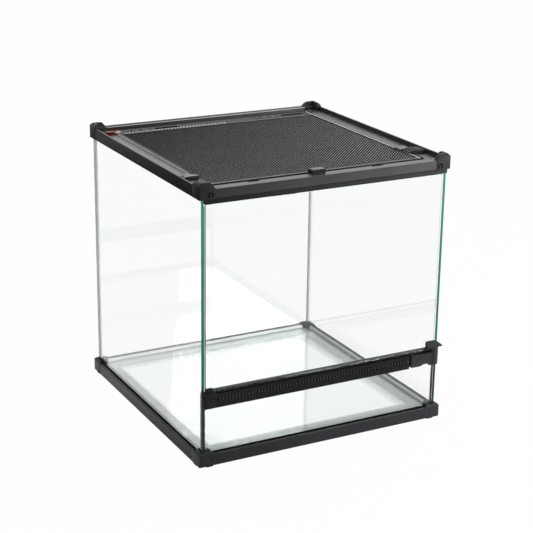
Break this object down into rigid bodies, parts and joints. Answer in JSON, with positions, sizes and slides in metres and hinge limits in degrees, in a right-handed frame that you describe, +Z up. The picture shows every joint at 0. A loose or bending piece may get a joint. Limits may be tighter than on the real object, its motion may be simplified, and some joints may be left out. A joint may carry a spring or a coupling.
{
  "type": "glass terrarium",
  "caption": "Front-opening glass terrarium with a hinged door, latch, vent strip, black plastic frame and a lift-up woven screen lid.",
  "frame": {"origin": "centre of the footprint on the plane the feet stand on", "axes": "+Z up, -Y towards the door, +X to the right seen from the door"},
  "size_m": [0.308, 0.308, 0.3164],
  "materials": {
    "black_plastic": "fine satin black moulded plastic",
    "glass": "clear float glass with green edges",
    "sealant": "dark silicone bead",
    "seal_grey": "grey translucent seal",
    "screen": "woven dark wire mesh",
    "red_plastic": "red mark"
  },
  "bodies": {
    "tank": {"base_corner_fl": "black_plastic", "base_corner_fr": "black_plastic", "base_corner_bl": "black_plastic", "base_corner_br": "black_plastic", "base_rail_front": "black_plastic", "base_rail_back": "black_plastic", "base_rail_left": "black_plastic", "base_rail_right": "black_plastic", "floor_glass": "glass", "left_glass": "glass", "right_glass": "glass", "back_glass": "glass", "low_front_glass": "glass", "corner_beads": "sealant", "door_seal": "seal_grey", "vent_strip": "black_plastic", "hinge_end": "black_plastic", "top_corner_fl": "black_plastic", "top_corner_fr": "black_plastic", "top_corner_bl": "black_plastic", "top_corner_br": "black_plastic", "top_rail_front": "black_plastic", "top_rail_back": "black_plastic", "top_rail_left": "black_plastic", "top_rail_right": "black_plastic", "frame_mark": "red_plastic"},
    "door": {"door_glass": "glass", "hinge_shoe_bottom": "black_plastic", "hinge_shoe_top": "black_plastic", "door_catch": "black_plastic"},
    "latch": {"latch_arm": "black_plastic"},
    "lid": {"lid_frame": "black_plastic", "lid_mesh": "screen", "lid_mark": "red_plastic"},
    "lock_left": {"lid_lock_left": "black_plastic"},
    "lock_right": {"lid_lock_right": "black_plastic"},
    "catch": {"lid_catch": "black_plastic"},
    "port_left": {"port_slider_left": "black_plastic"},
    "port_right": {"port_slider_right": "black_plastic"}
  },
  "joints": [
    {"name": "door_swing", "type": "hinge", "parent": "tank", "child": "door", "pos_m": [-0.1415, -0.148, 0.189], "axis": [0, 0, -1], "range_deg": [0, 110]},
    {"name": "latch_swing", "type": "hinge", "parent": "tank", "child": "latch", "pos_m": [0.1148, -0.15145, 0.083], "axis": [0, 0, -1], "range_deg": [0, 15], "stiffness_Nm_per_rad": 0.02},
    {"name": "lid_lift", "type": "hinge", "parent": "tank", "child": "lid", "pos_m": [0, 0.13175, 0.30565], "axis": [-1, 0, 0], "range_deg": [0, 100]},
    {"name": "lock_left_slide", "type": "slide", "parent": "lid", "child": "lock_left", "axis": [0, 1, 0], "range_m": [0, 0.009]},
    {"name": "lock_right_slide", "type": "slide", "parent": "lid", "child": "lock_right", "axis": [0, 1, 0], "range_m": [0, 0.009]},
    {"name": "catch_slide", "type": "slide", "parent": "lid", "child": "catch", "axis": [0, 1, 0], "range_m": [0, 0.006]},
    {"name": "port_left_slide", "type": "slide", "parent": "lid", "child": "port_left", "axis": [1, 0, 0], "range_m": [0, 0.03]},
    {"name": "port_right_slide", "type": "slide", "parent": "lid", "child": "port_right", "axis": [1, 0, 0], "range_m": [0, 0.03]}
  ]
}
